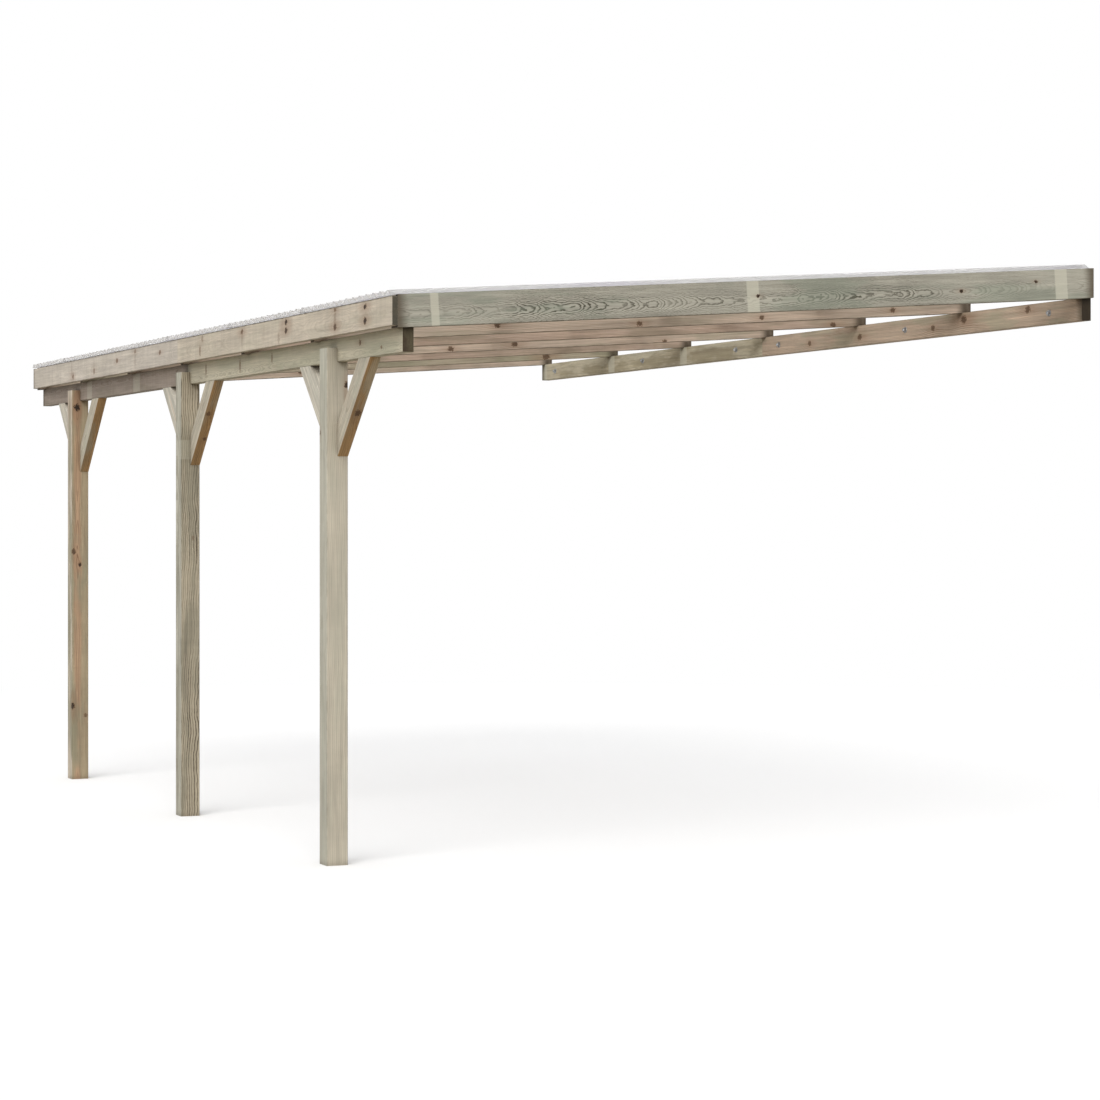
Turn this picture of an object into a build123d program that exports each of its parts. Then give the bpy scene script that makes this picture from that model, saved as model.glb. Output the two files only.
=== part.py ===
from build123d import *
import os
from math import atan2, ceil, cos, pi, sin

# Timber carport that leans on a house wall.
# The wall plate is bolted to the wall, three posts carry the beam at the eave,
# and rafters fall from the plate to the beam under battens and corrugated sheets.
# Millimetres. +Z is up, the wall is the plane X = 0 and the eave is on the -X side.
# The front, where a car drives in, faces -Y.
# The origin lies on the wall face of the wall plate, at half its height and half the length.

# Overall sizes
LENGTH = 5700.0             # over the front and back fascias
WIDTH = 3150.0              # wall to the outer face of the eave fascia
CLEAR_HEIGHT = 2020.0       # ground to the underside of the beam
ROOF_RISE = 205.0           # top of the wall plate above the top of the beam

# Timber sections
POST_WIDE = 90.0
POST_ROUND = 4.0            # planed rounding on the long edges of a post
THICK = 45.0                # beam, braces, rafters and wall plate
DEEP = 95.0
BOARD = 22.0                # fascia boards
BATTEN_WIDE = 45.0
BATTEN_HIGH = 30.0

# Posts, beam and braces
OVERHANG = 755.0            # from a fascia's outer face to the nearest post
POST_INSET = 5.0            # outer face of a post behind the eave fascia's outer face
TONGUE = 55.0               # how far the outer half of a post stands up beside the beam
BRACE_REACH = 380.0         # from the corner of post and beam to a brace's far edge

# Roof
RAFTERS = 7
BATTENS = 5
WAVE = 76.0                 # one corrugation, crest to crest
WAVE_HIGH = 18.0
WAVE_STEPS = 8              # flats that make one corrugation
SHEET_THICK = 1.5
SHEET_WAVES = 14            # waves of a full sheet
LAP_WAVES = 1               # of which these lie on the sheet before
LAP_GAP = 0.2
SHEET_DRIP = 6.0            # sheets reach past the eave fascia
DRIP_GAP = 5.0              # and clear its top edge
EAVE_LIFT = 9.0             # the eave fascia starts this far above the rafters' underside
SHEET_SHORT = 22.0          # they stop short of the wall
BATTEN_TO_WALL = 25.0

# Wall plate and its bolts
PLATE_JOINT = 15.0          # Y of the butt joint, under the middle rafter
BOLT_BAYS = [0.26, 1.53, 2.85, 3.35, 4.55, 5.84]  # in rafter bays from the plate's front end
BOLT_R = 5.0
BOLT_HOLE_R = 5.5
HEAD_FLATS = 17.0
HEAD_HIGH = 6.4
WASHER_R = 14.0
WASHER_THICK = 2.0

# Places that follow from the sizes
PLATE_TOP = DEEP / 2
PLATE_BOTTOM = -DEEP / 2
BEAM_TOP = PLATE_TOP - ROOF_RISE
BEAM_UNDER = BEAM_TOP - DEEP
GROUND = BEAM_UNDER - CLEAR_HEIGHT
EAVE = -WIDTH
EAVE_IN = EAVE + BOARD
POST_OUT = EAVE + POST_INSET
POST_IN = POST_OUT + POST_WIDE
BEAM_OUT = POST_IN - THICK
FRONT = -LENGTH / 2
FRONT_IN = FRONT + BOARD
BACK_IN = -FRONT_IN
POST_SPACING = LENGTH / 2 - OVERHANG - POST_WIDE / 2
BAY = (BACK_IN - FRONT_IN - THICK) / (RAFTERS - 1)
BOLTS_Y = [FRONT_IN + bays * BAY for bays in BOLT_BAYS]
SLOPE = ROOF_RISE / -POST_IN
PITCH = atan2(ROOF_RISE, -POST_IN)
STACK = DEEP + BATTEN_HIGH  # rafter and batten, square to the slope
BRACE_CUT = DEEP / cos(pi / 4)
SHEET_LOW = EAVE - SHEET_DRIP


def soffit(x):
    """Height of the rafters' underside at x."""
    return PLATE_TOP + SLOPE * x


def above(x, depth):
    """Height at x of a line that lies depth above the rafters' underside."""
    return soffit(x) + depth / cos(PITCH)


def slope_plane(x, depth, y):
    """Section plane across Y whose own x runs up the slope."""
    return Plane(origin=(x, y, above(x, depth)), x_dir=(cos(PITCH), 0, sin(PITCH)), z_dir=(0, -1, 0))


def save(piece, name):
    """Label a finished piece and write it to its file."""
    piece.part.label = name
    export_step(piece.part, f"parts/{name}.step")
    print(f"{name}: {piece.part.volume / 1e6:.2f} litres")


os.makedirs("parts", exist_ok=True)

# Posts: the inner half is cut back to carry the beam,
# and the outer half stands up as a tongue beside it.
for place, y in [("front", -POST_SPACING), ("middle", 0.0), ("back", POST_SPACING)]:
    with BuildPart() as post:
        with BuildSketch(Plane.XZ.offset(-(y + POST_WIDE / 2))):
            with BuildLine():
                Polyline(
                    (POST_OUT, GROUND),
                    (POST_IN, GROUND),
                    (POST_IN, BEAM_UNDER),
                    (BEAM_OUT, BEAM_UNDER),
                    (BEAM_OUT, BEAM_UNDER + TONGUE),
                    (POST_OUT, BEAM_UNDER + TONGUE),
                    close=True,
                )
            make_face()
        extrude(amount=POST_WIDE)
        arrises = post.edges().filter_by(Axis.Z).filter_by(lambda e: abs(e.center().X - BEAM_OUT) > 1.0)
        fillet(arrises, POST_ROUND)
    save(post, f"post_{place}")

    # Knee braces, one on each side of the post, cut square to post and beam.
    for side, toward in [("forward", -1), ("rearward", 1)]:
        face = y + toward * POST_WIDE / 2
        with BuildPart() as brace:
            with BuildSketch(Plane.YZ.offset(BEAM_OUT)):
                with BuildLine():
                    Polyline(
                        (face, BEAM_UNDER - BRACE_REACH),
                        (face, BEAM_UNDER - BRACE_REACH + BRACE_CUT),
                        (face + toward * (BRACE_REACH - BRACE_CUT), BEAM_UNDER),
                        (face + toward * BRACE_REACH, BEAM_UNDER),
                        close=True,
                    )
                make_face()
            extrude(amount=THICK)
        save(brace, f"brace_{place}_{side}")

# Beam in two lengths that meet over the middle post.
for place, y_low, y_high in [("front", FRONT_IN, 0.0), ("back", 0.0, BACK_IN)]:
    with BuildPart() as beam:
        with BuildSketch(Plane.XY.offset(BEAM_UNDER)):
            with Locations((BEAM_OUT, y_low)):
                Rectangle(THICK, y_high - y_low, align=Align.MIN)
        extrude(amount=DEEP)
    save(beam, f"beam_{place}")

# Wall plate in two lengths, with through holes for the wall bolts.
for place, y_low, y_high in [("front", FRONT_IN, PLATE_JOINT), ("back", PLATE_JOINT, BACK_IN)]:
    with BuildPart() as plate:
        with BuildSketch(Plane.XY.offset(PLATE_BOTTOM)):
            with Locations((-THICK, y_low)):
                Rectangle(THICK, y_high - y_low, align=Align.MIN)
        extrude(amount=DEEP)
        inner_face = plate.faces().sort_by(Axis.X)[0]
        bolts_here = [y for y in BOLTS_Y if y_low < y < y_high]
        with Locations(*[Plane(origin=(-THICK, y, 0), z_dir=inner_face.normal_at()) for y in bolts_here]):
            Hole(BOLT_HOLE_R, THICK)
    save(plate, f"wall_plate_{place}")

# Wall bolts with their washers. The shank ends flush with the wall face.
for number, y in enumerate(BOLTS_Y, start=1):
    with BuildPart() as bolt:
        with BuildSketch(Plane.YZ.offset(-THICK)):
            with Locations((y, 0)):
                Circle(BOLT_R)
        extrude(amount=THICK)
        with BuildSketch(Plane.YZ.offset(-THICK - WASHER_THICK)):
            with Locations((y, 0)):
                Circle(WASHER_R)
        extrude(amount=WASHER_THICK)
        with BuildSketch(Plane.YZ.offset(-THICK - WASHER_THICK - HEAD_HIGH)):
            with Locations((y, 0)):
                RegularPolygon(HEAD_FLATS / 2, 6, major_radius=False)
        extrude(amount=HEAD_HIGH)
    save(bolt, f"wall_bolt_{number}")

# Rafters, seated by small notches on the beam and on the wall plate.
for number in range(1, RAFTERS + 1):
    y_high = FRONT_IN + (number - 1) * BAY + THICK
    with BuildPart() as rafter:
        with BuildSketch(Plane.XZ.offset(-y_high)):
            with BuildLine():
                Polyline(
                    (EAVE_IN, soffit(EAVE_IN)),
                    (BEAM_OUT, soffit(BEAM_OUT)),
                    (BEAM_OUT, BEAM_TOP),
                    (POST_IN, BEAM_TOP),
                    (-THICK, soffit(-THICK)),
                    (-THICK, PLATE_TOP),
                    (0, PLATE_TOP),
                    (0, above(0, DEEP)),
                    (EAVE_IN, above(EAVE_IN, DEEP)),
                    close=True,
                )
            make_face()
        extrude(amount=THICK)
    save(rafter, f"rafter_{number}")

# End fascias, cut to the fall of the roof, between the eave fascia and the wall.
for place, y_high in [("front", FRONT_IN), ("back", -FRONT)]:
    with BuildPart() as fascia:
        with BuildSketch(Plane.XZ.offset(-y_high)):
            with BuildLine():
                Polyline(
                    (EAVE_IN, soffit(EAVE_IN)),
                    (0, soffit(0)),
                    (0, above(0, STACK)),
                    (EAVE_IN, above(EAVE_IN, STACK)),
                    close=True,
                )
            make_face()
        extrude(amount=BOARD)
    save(fascia, f"fascia_{place}")

# Eave fascia in two lengths. Its square top edge stays just under the sheets,
# and light comes in over the beam through the slot that is left below it.
eave_top = above(SHEET_LOW, STACK) - DRIP_GAP
eave_low = soffit(EAVE) + EAVE_LIFT
for place, y_low in [("front", FRONT), ("back", 0.0)]:
    with BuildPart() as fascia:
        with BuildSketch(Plane.XY.offset(eave_low)):
            with Locations((EAVE, y_low)):
                Rectangle(BOARD, LENGTH / 2, align=Align.MIN)
        extrude(amount=eave_top - eave_low)
    save(fascia, f"fascia_eave_{place}")

# Battens on the rafters, from the eave up to the wall, between the end fascias.
first_batten = EAVE_IN + BATTEN_HIGH * sin(PITCH)
last_batten = -BATTEN_TO_WALL - BATTEN_WIDE
for number in range(1, BATTENS + 1):
    x_low = first_batten + (last_batten - first_batten) * (number - 1) / (BATTENS - 1)
    with BuildPart() as batten:
        with BuildSketch(slope_plane(x_low, DEEP, BACK_IN)):
            Rectangle(BATTEN_WIDE, BATTEN_HIGH, align=Align.MIN)
        extrude(amount=BACK_IN - FRONT_IN)
    save(batten, f"batten_{number}")

# Corrugated roof sheets, laid from the front to the back.
# The first wave of each sheet lies on the last wave of the sheet before,
# and the sheet settles back to the battens over its next wave.
roof_waves = round(LENGTH / WAVE)
wave = LENGTH / roof_waves
sheets = ceil((roof_waves - LAP_WAVES) / (SHEET_WAVES - LAP_WAVES))
sheet_long = (-SHEET_SHORT - SHEET_LOW) / cos(PITCH)
for number in range(1, sheets + 1):
    first_wave = (number - 1) * (SHEET_WAVES - LAP_WAVES)
    waves = min(SHEET_WAVES, roof_waves - first_wave)
    under = []
    for step in range(waves * WAVE_STEPS + 1):
        turn = step / WAVE_STEPS
        lapped = min(1, max(0, LAP_WAVES + 1 - turn)) if number > 1 else 0
        lift = (SHEET_THICK + LAP_GAP) * lapped
        under.append((turn * wave, WAVE_HIGH / 2 * (1 - cos(2 * pi * turn)) + lift))
    over = [(along, high + SHEET_THICK) for along, high in reversed(under)]
    eave_end = Plane(
        origin=(SHEET_LOW, FRONT + first_wave * wave, above(SHEET_LOW, STACK)),
        x_dir=(0, 1, 0),
        z_dir=(cos(PITCH), 0, sin(PITCH)),
    )
    with BuildPart() as sheet:
        with BuildSketch(eave_end):
            with BuildLine():
                Polyline(*under, *over, close=True)
            make_face()
        extrude(amount=sheet_long)
    save(sheet, f"roof_sheet_{number}")
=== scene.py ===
# %% [markdown]
# # A timber carport on a house wall
#
# The carport is a lean-to: a plate bolted to the wall, three posts with knee braces, a beam,
# seven rafters, boards round the edge and clear corrugated sheets on battens.
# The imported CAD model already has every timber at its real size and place,
# so this lesson only gives the timbers their finish and adds the small things.
# The model is loaded first, and its box is kept to compare sizes at the end.

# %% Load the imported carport
import math

import bmesh
import bpy
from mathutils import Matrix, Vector


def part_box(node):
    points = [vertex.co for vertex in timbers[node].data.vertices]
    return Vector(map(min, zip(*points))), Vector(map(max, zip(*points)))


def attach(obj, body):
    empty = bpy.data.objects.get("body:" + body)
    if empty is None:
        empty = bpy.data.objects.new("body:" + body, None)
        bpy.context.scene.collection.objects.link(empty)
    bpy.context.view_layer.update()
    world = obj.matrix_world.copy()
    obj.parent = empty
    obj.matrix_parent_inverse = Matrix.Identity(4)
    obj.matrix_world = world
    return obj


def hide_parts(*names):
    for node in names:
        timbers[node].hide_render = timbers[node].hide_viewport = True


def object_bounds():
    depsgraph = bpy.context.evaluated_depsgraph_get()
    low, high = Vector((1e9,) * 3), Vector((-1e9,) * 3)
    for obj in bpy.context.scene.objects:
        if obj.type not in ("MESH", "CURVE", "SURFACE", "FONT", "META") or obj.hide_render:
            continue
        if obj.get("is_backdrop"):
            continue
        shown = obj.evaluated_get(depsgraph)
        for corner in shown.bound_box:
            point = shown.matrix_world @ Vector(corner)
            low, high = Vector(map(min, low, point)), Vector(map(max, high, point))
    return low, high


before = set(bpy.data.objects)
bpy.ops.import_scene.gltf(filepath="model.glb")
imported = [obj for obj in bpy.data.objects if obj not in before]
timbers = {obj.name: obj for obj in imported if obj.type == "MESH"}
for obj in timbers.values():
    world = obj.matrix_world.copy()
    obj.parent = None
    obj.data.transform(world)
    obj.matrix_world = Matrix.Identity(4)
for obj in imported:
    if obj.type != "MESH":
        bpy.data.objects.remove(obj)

for spare in ("Cube", "Camera", "Light"):
    if spare in bpy.data.objects:
        bpy.data.objects.remove(bpy.data.objects[spare])
packed_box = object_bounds()
print("loaded", len(timbers), "pieces")
print("box in metres", [[round(v, 3) for v in corner] for corner in packed_box])

# %% [markdown]
# ## The camera
#
# The photograph was taken standing in front of the carport and well to its open side,
# with a long lens held level. A level camera keeps the posts upright in the picture,
# and the small downward shift moves the horizon without tilting them.
# The place, turn and lens were fitted to the post feet, the boards and the rafter ends.

# %% Stand the camera where the photograph was taken
camera = bpy.data.objects.new("camera", bpy.data.cameras.new("camera"))
camera.data.lens = 92.19
camera.data.sensor_width = 36.0
camera.data.shift_y = -0.0291
camera.data.clip_end = 200.0
camera.location = (-6.884, -12.769, -0.879)
camera.rotation_euler = (math.radians(90.0), 0.0, math.radians(-23.835))
bpy.context.collection.objects.link(camera)
bpy.context.scene.camera = camera
bpy.context.scene.view_settings.view_transform = "Standard"
front_post = Vector((-3.1, -2.05, -0.9))
print("camera", round((camera.location - front_post).length, 2), "m from the front post")

# %% [markdown]
# ## Node helpers
#
# Every finish below is a small network of shader nodes. Wiring them by hand takes four lines
# a node, so these helpers make a node, feed its sockets with numbers or with other sockets,
# and hand back its output. What is built with them reads almost like a sum.

# %% Short ways to add shader nodes
def step(tree, kind, feeds, out=0, **options):
    """Add a node, set its options, feed its sockets and return one of its outputs."""
    added = tree.nodes.new(kind)
    for option, value in options.items():
        setattr(added, option, value)
    for socket, value in feeds.items():
        if isinstance(value, bpy.types.NodeSocket):
            tree.links.new(value, added.inputs[socket])
        else:
            added.inputs[socket].default_value = value
    return added.outputs[out]


def sum_up(tree, operation, a, b=0.0, c=0.0):
    return step(tree, "ShaderNodeMath", {0: a, 1: b, 2: c}, operation=operation)


def times(tree, a, b):
    return sum_up(tree, "MULTIPLY", a, b)


def vector_sum(tree, operation, a, b=(0.0, 0.0, 0.0)):
    out = "Value" if operation in ("LENGTH", "DOT_PRODUCT") else "Vector"
    return step(tree, "ShaderNodeVectorMath", {0: a, 1: b}, out, operation=operation)


def fade(tree, value, start, end, low=0.0, high=1.0):
    """A soft step from low to high while value goes from start to end."""
    feeds = {"Value": value, "From Min": start, "From Max": end, "To Min": low, "To Max": high}
    return step(tree, "ShaderNodeMapRange", feeds, interpolation_type="SMOOTHSTEP")


def grainy(tree, place, scale=1.0, detail=2.0, rough=0.5):
    """Noise from 0 to 1, with about scale lumps a metre."""
    feeds = {"Vector": place, "Scale": scale, "Detail": detail, "Roughness": rough}
    return step(tree, "ShaderNodeTexNoise", feeds)


def own_place(tree):
    """A point's place on the piece itself, in metres."""
    return tree.nodes.new("ShaderNodeTexCoord").outputs["Object"]


# %% Short ways to add colours and materials
def stain(tree, amount, under, over, how="MIX"):
    """Lay one colour over another."""
    feeds = {0: amount, 6: under, 7: over}
    return step(tree, "ShaderNodeMix", feeds, 2, data_type="RGBA", blend_type=how)


def shade_by(tree, under, over):
    """Darken one colour by another, as a glaze does."""
    return stain(tree, 1.0, under, over, "MULTIPLY")


def paint(red, green, blue):
    """A colour chart's 0 to 255 numbers as the linear colour that Blender works in."""
    parts = [c / 255.0 for c in (red, green, blue)]
    return (*[p / 12.92 if p < 0.04045 else ((p + 0.055) / 1.055) ** 2.4 for p in parts], 1.0)


def new_finish(name):
    """An empty material and its node tree."""
    made = bpy.data.materials.new(name)
    made.use_nodes = True
    made.node_tree.nodes.clear()
    return made, made.node_tree


def show(tree, shader):
    """Send a shader to the output of a material or the world."""
    is_world = tree == bpy.context.scene.world.node_tree
    kind = "ShaderNodeOutputWorld" if is_world else "ShaderNodeOutputMaterial"
    tree.links.new(shader, tree.nodes.new(kind).inputs["Surface"])


print("clean pine starts from", [round(v, 3) for v in paint(186, 178, 162)])

# %% [markdown]
# ## The studio
#
# The photograph is cut out on white, under even daylight. A picture of a sky would light
# the carport too, but its colours and sun spots would come along.
# So the world is one plain soft colour, and white fills it only where the camera
# or a shiny surface looks, which doesn't brighten the timber.

# %% Fill the world with soft light
SKY = (0.985, 0.99, 1.0, 1.0)
SKY_STRENGTH = 0.80
WHITE = (1.0, 1.0, 1.0, 1.0)
sky = bpy.data.worlds.new("studio_sky")
sky.use_nodes = True
sky.node_tree.nodes.clear()
bpy.context.scene.world = sky


def white_to_eye(tree):
    """1 for a ray from the camera, off a shiny surface or through a clear one."""
    rays = tree.nodes.new("ShaderNodeLightPath").outputs
    seen = sum_up(tree, "MAXIMUM", rays["Is Camera Ray"], rays["Is Glossy Ray"])
    return sum_up(tree, "MAXIMUM", seen, rays["Is Transmission Ray"])


tree = sky.node_tree
kind = "ShaderNodeBackground"
soft = step(tree, kind, {"Color": SKY, "Strength": SKY_STRENGTH}, "Background")
blank = step(tree, kind, {"Color": WHITE, "Strength": 1.0}, "Background")
show(tree, step(tree, "ShaderNodeMixShader", {0: white_to_eye(tree), 1: soft, 2: blank}, "Shader"))
print("sky strength", SKY_STRENGTH)

# %% [markdown]
# The floor is a pale plane that takes the carport's shadow, and it fades to plain white
# far from the carport, so that no horizon line shows.
# To the timber the floor is a darker, warmer colour, as earth or paving would be,
# so the undersides of the braces and rafters stay brown and deep.

# %% Lay the floor
EARTH = (0.26, 0.22, 0.16, 1.0)
PALE = (0.92, 0.92, 0.92, 1.0)
FADES_FROM, FADES_TO = 5.0, 10.0  # metres from the middle of the carport
ground = packed_box[0].z
floor = bpy.data.objects.new("floor", bpy.data.meshes.new("floor"))
shape = bmesh.new()
bmesh.ops.create_grid(shape, x_segments=1, y_segments=1, size=60.0)
shape.to_mesh(floor.data)
shape.free()
floor.location = (-1.5, 0.0, ground)
bpy.context.collection.objects.link(floor)
floor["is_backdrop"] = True

floor_paint, tree = new_finish("studio_floor")
seen = white_to_eye(tree)
plain = step(tree, "ShaderNodeBsdfDiffuse", {"Color": stain(tree, seen, EARTH, PALE)}, "BSDF")
white = step(tree, "ShaderNodeEmission", {"Color": WHITE, "Strength": 1.0}, "Emission")
far = fade(tree, vector_sum(tree, "LENGTH", own_place(tree)), FADES_FROM, FADES_TO)
away = times(tree, far, seen)
show(tree, step(tree, "ShaderNodeMixShader", {0: away, 1: plain, 2: white}, "Shader"))
floor.data.materials.append(floor_paint)
print("floor at", round(ground, 4), "m")

# %% [markdown]
# The photograph shows daylight from the front and the open side, and no sharp shadow.
# Many small lamps could give that. One sun lamp widened to fifty degrees does the same:
# the light has a side, and its shadows fade out within a hand's width.

# %% Hang one soft lamp in front, to the left and above
lamp = bpy.data.objects.new("window_light", bpy.data.lights.new("window_light", "SUN"))
lamp.data.energy = 2.0
lamp.data.angle = math.radians(50.0)
lamp.data.color = (1.0, 0.985, 0.96)
lamp.rotation_euler = Vector((0.48, 0.62, -0.62)).to_track_quat("-Z", "Y").to_euler()
bpy.context.collection.objects.link(lamp)
print("lamp", lamp.data.energy, "W per square metre")

# %% [markdown]
# ## The wood
#
# Every timber is pressure-treated softwood, sawn and planed, some months old.
# A picture of wood wrapped round a beam never meets itself at the corners or the ends.
# So the finish is solid wood instead: each timber is thought of as cut from a log,
# with its own pith beside or inside it, and a point's distance from that pith tells
# which growth ring it is in. Flat faces then show arches, edges show straight lines
# and the sawn ends show rings, all of them joined up.
# Slow noise bends the log along its length, which is what makes the arches.

# %% A node group for sawn pine
def new_group(name, takes, gives):
    """A node group with its sockets, and the values that it is given."""
    made = bpy.data.node_groups.new(name, "ShaderNodeTree")
    for in_out, kinds in (("INPUT", takes), ("OUTPUT", gives)):
        for kind, sockets in kinds.items():
            for socket in sockets:
                made.interface.new_socket(socket, in_out=in_out, socket_type="NodeSocket" + kind)
    return made, made.nodes.new("NodeGroupInput").outputs


pine, given = new_group("sawn_pine", {
    "Vector": ("Place", "Pith", "Other way", "Grain way", "Middle", "Half"),
    "Color": ("Early", "Late", "Other early", "Other late", "Blotch", "Heart"),
    "Float": ("Seed", "Ring", "Wander", "Taper", "Contrast", "Blotches", "Heart reach", "Shade and wear",
              "Chatter", "Raw", "Knot", "Swell", "Pale", "End"),
}, {"Color": ("Colour",), "Float": ("Roughness", "Height")})
print("sawn pine has", len(pine.interface.items_tree), "sockets")

# %% Growth rings
SEED_STEP = (3.1, 1.7, 2.3)  # a seed of 1 moves a timber this far within the noise
shift = vector_sum(pine, "SCALE", SEED_STEP)
pine.links.new(given["Seed"], shift.node.inputs["Scale"])
own = vector_sum(pine, "ADD", given["Place"], shift)
across = vector_sum(pine, "SUBTRACT", given["Place"], given["Pith"])
radius = vector_sum(pine, "LENGTH", vector_sum(pine, "MULTIPLY", across, (0.0, 1.0, 1.0)))


def wood_noise(along, around, detail=2.0, rough=0.5):
    """Noise with so many lumps a metre along the grain and around it."""
    lumps = vector_sum(pine, "MULTIPLY", own, (along, around, around))
    return grainy(pine, lumps, 1.0, detail, rough)


def nudge(value, noise, reach):
    """Add noise to a value, half of reach either way."""
    return sum_up(pine, "MULTIPLY_ADD", sum_up(pine, "SUBTRACT", noise, 0.5), reach, value)


ripple = times(pine, given["Wander"], 0.30)
jag = sum_up(pine, "MULTIPLY_ADD", given["Wander"], 0.035, 0.001)
radius = nudge(radius, wood_noise(1.7, 1.0, 1.0), given["Wander"])
radius = nudge(radius, wood_noise(8.0, 4.0), ripple)
radius = nudge(radius, wood_noise(45.0, 150.0), jag)
radius = sum_up(pine, "SUBTRACT", radius, given["Swell"])
along = step(pine, "ShaderNodeSeparateXYZ", {0: given["Place"]}, "X")
rings = sum_up(pine, "MULTIPLY_ADD", along, given["Taper"], radius)
rings = sum_up(pine, "DIVIDE", rings, given["Ring"])
season = sum_up(pine, "FRACT", rings)  # 0 in spring, nearly 1 in late summer
year = sum_up(pine, "ADD", sum_up(pine, "FLOOR", rings), given["Seed"])
harsh = step(pine, "ShaderNodeTexWhiteNoise", {"W": year}, noise_dimensions="1D")
summer = times(pine, fade(pine, season, 0.42, 0.86), fade(pine, season, 0.93, 1.0, 1.0, 0.0))
summer = times(pine, summer, sum_up(pine, "MULTIPLY_ADD", harsh, 0.45, 0.55))
worn = fade(pine, grainy(pine, own, 2.6), 0.36, 0.60, 0.5, 1.0)
line = times(pine, times(pine, summer, worn), given["Contrast"])
print("rings made from", len(pine.nodes), "nodes")

# %% [markdown]
# Between the rings real pine is never one colour. The heart of the log is redder,
# the green salt soaked in unevenly, and the saw and the plane left fine streaks.
# One strong noise would look like stone. So several weak ones are laid over each other,
# each drawn out along the grain, from fibres three millimetres apart to clouds
# as long as a hand.

# %% Heartwood, blotches and fibre
CLEAN_STRIP = paint(204, 202, 186)
SOAKED_AND_SHADED_END = paint(88, 78, 64)
normal = pine.nodes.new("ShaderNodeNewGeometry").outputs["True Normal"]
other_face = vector_sum(pine, "DOT_PRODUCT", normal, given["Other way"])
other_face = fade(pine, other_face, 0.45, 0.75)
early = stain(pine, other_face, given["Early"], given["Other early"])
late = stain(pine, other_face, given["Late"], given["Other late"])
soft_edge = sum_up(pine, "ADD", given["Heart reach"], 0.012)
heart = fade(pine, radius, soft_edge, given["Heart reach"], 0.0, 0.55)
colour = stain(pine, line, stain(pine, heart, early, given["Heart"]), late)
blotch = fade(pine, wood_noise(2.2, 12.0, 4.0, 0.6), 0.46, 0.62)
colour = stain(pine, times(pine, blotch, given["Blotches"]), colour, given["Blotch"])

fibre = wood_noise(7.0, 380.0)
strand = wood_noise(3.5, 120.0)
streak = wood_noise(1.6, 38.0, 3.0, 0.6)
for noise, reach in ((fibre, 0.40), (strand, 0.44), (streak, 0.50)):
    reach = times(pine, given["Raw"], reach)
    colour = shade_by(pine, colour, nudge(1.0, noise, reach))
cloud = sum_up(pine, "MULTIPLY_ADD", wood_noise(3.0, 11.0, 3.0, 0.6), 0.44, 0.78)
colour = shade_by(pine, colour, cloud)
chatter = nudge(1.0, wood_noise(34.0, 6.0, 3.0, 0.6), given["Chatter"])
colour = shade_by(pine, colour, chatter)
colour = stain(pine, times(pine, given["Pale"], 0.62), colour, CLEAN_STRIP)
# Darken the marked ends: soaked wood, and at the rafters' wall ends painted shade as well.
colour = stain(pine, times(pine, given["End"], 0.88), colour, SOAKED_AND_SHADED_END)
print("wood colour made, now", len(pine.nodes), "nodes")

# %% [markdown]
# A sawn end drinks water and goes darker than a face. Long edges are rubbed grey,
# and where two timbers meet the wood gets painted shade. Both could be painted by hand,
# but here the shader finds them: an end by the way it faces, an edge by its distance
# from the timber's middle, and a joint by how little open air is round it.

# %% Sawn ends, knots, worn edges and painted shade in joints
END_GRAIN = paint(138, 130, 118)
KNOT_RIM, KNOT_WOOD, KNOT_CORE = paint(146, 112, 88), paint(112, 87, 66), paint(44, 34, 27)
EDGE_GREY, SHADE_BROWN = paint(104, 98, 80), paint(112, 98, 80)
sawn = vector_sum(pine, "DOT_PRODUCT", normal, given["Grain way"])
sawn = fade(pine, sum_up(pine, "ABSOLUTE", sawn), 0.6, 0.9)
colour = stain(pine, sawn, colour, shade_by(pine, colour, END_GRAIN))
rim = fade(pine, given["Swell"], 0.001, 0.010, 0.0, 0.40)
colour = stain(pine, rim, colour, KNOT_RIM)
colour = stain(pine, fade(pine, given["Knot"], 0.02, 0.50, 0.0, 0.8), colour, KNOT_WOOD)
colour = stain(pine, fade(pine, given["Knot"], 0.50, 1.00, 0.0, 0.95), colour, KNOT_CORE)

inset = vector_sum(pine, "SUBTRACT", given["Place"], given["Middle"])
inset = vector_sum(pine, "SUBTRACT", given["Half"], vector_sum(pine, "ABSOLUTE", inset))
inset = step(pine, "ShaderNodeSeparateXYZ", {0: inset}, "Z").node.outputs
from_edge = sum_up(pine, "MAXIMUM", inset["Y"], inset["Z"])
from_edge = sum_up(pine, "MULTIPLY_ADD", grainy(pine, own, 24.0, 3.0), 0.008, from_edge)
worn_edge = times(pine, fade(pine, from_edge, 0.0035, 0.0085, 0.40, 0.0), given["Shade and wear"])
colour = stain(pine, worn_edge, colour, EDGE_GREY)
# Painted shade: where little open air is round the wood, in joints and corners, it is darkened
# brown, unevenly along the streaks.
open_air = step(pine, "ShaderNodeAmbientOcclusion", {"Distance": 0.045}, "AO", samples=5)
uneven = fade(pine, streak, 0.2, 0.6, 0.6, 1.0)
joint_shade = times(pine, fade(pine, open_air, 0.12, 0.90, 0.72, 0.0), uneven)
joint_shade = times(pine, joint_shade, given["Shade and wear"])
colour = stain(pine, joint_shade, colour, shade_by(pine, colour, SHADE_BROWN))


def hand_out(group, results):
    """Link the results to a group's own outputs."""
    outputs = group.nodes.new("NodeGroupOutput").inputs
    for socket, value in results.items():
        group.links.new(value, outputs[socket])
    print(group.name, "has", len(group.nodes), "nodes")


height = sum_up(pine, "MULTIPLY_ADD", line, 0.5, times(pine, fibre, 0.8))
height = sum_up(pine, "SUBTRACT", height, times(pine, given["Knot"], 0.6))
roughness = sum_up(pine, "MULTIPLY_ADD", fibre, 0.24, 0.62)
hand_out(pine, {"Colour": colour, "Roughness": roughness, "Height": height})

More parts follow.
